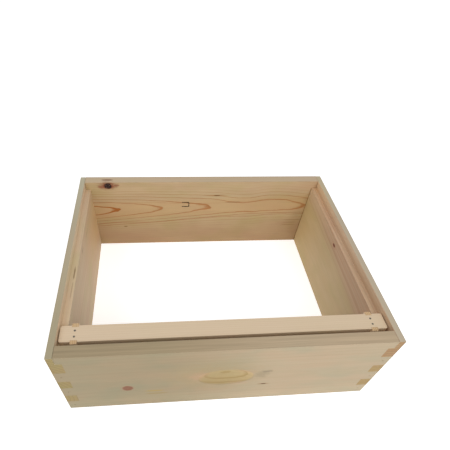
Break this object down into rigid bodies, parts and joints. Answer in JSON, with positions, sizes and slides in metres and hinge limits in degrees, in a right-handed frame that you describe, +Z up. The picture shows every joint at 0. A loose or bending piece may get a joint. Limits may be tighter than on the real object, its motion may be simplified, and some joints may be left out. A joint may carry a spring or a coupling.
{
  "type": "langstroth hive box",
  "caption": "Open finger-jointed pine hive box, medium depth, with scooped handholds, frame rests along the short walls and a lift-out frame of black cell foundation.",
  "frame": {"origin": "centre of the box's footprint, on the surface that it stands on", "axes": "+X along the long boards to the right, +Y from the front board to the back board, +Z up"},
  "size_m": [0.505, 0.413, 0.168],
  "materials": {
    "front_board_pine": "bare planed pine, grey-beige",
    "back_board_pine": "bare planed pine, warm tan with orange figure",
    "left_board_pine": "bare planed pine, pale pinkish beige",
    "right_board_pine": "bare planed pine with a pinkish-brown heartwood stripe",
    "frame_pine": "bare planed pine, pale",
    "nail_steel": "dull bright wire",
    "staple_wire": "dark oxidised wire",
    "black_plastic": "moulded, slightly glossy black"
  },
  "bodies": {
    "box": {"front_long_board": "front_board_pine", "back_long_board": "back_board_pine", "left_end_board": "left_board_pine", "right_end_board": "right_board_pine", "flat_staple": "staple_wire", "front_left_brads": "nail_steel", "front_right_brads": "nail_steel", "back_left_brads": "nail_steel", "back_right_brads": "nail_steel"},
    "frame": {"top_bar": "frame_pine", "bottom_bar": "frame_pine", "left_end_bar": "frame_pine", "right_end_bar": "frame_pine", "foundation_sheet": "black_plastic", "top_bar_nails": "nail_steel", "bottom_bar_nails": "nail_steel"}
  },
  "joints": [
    {"name": "frame_lift", "type": "slide", "parent": "box", "child": "frame", "axis": [0, 0, 1], "range_m": [0, 0.2]}
  ]
}
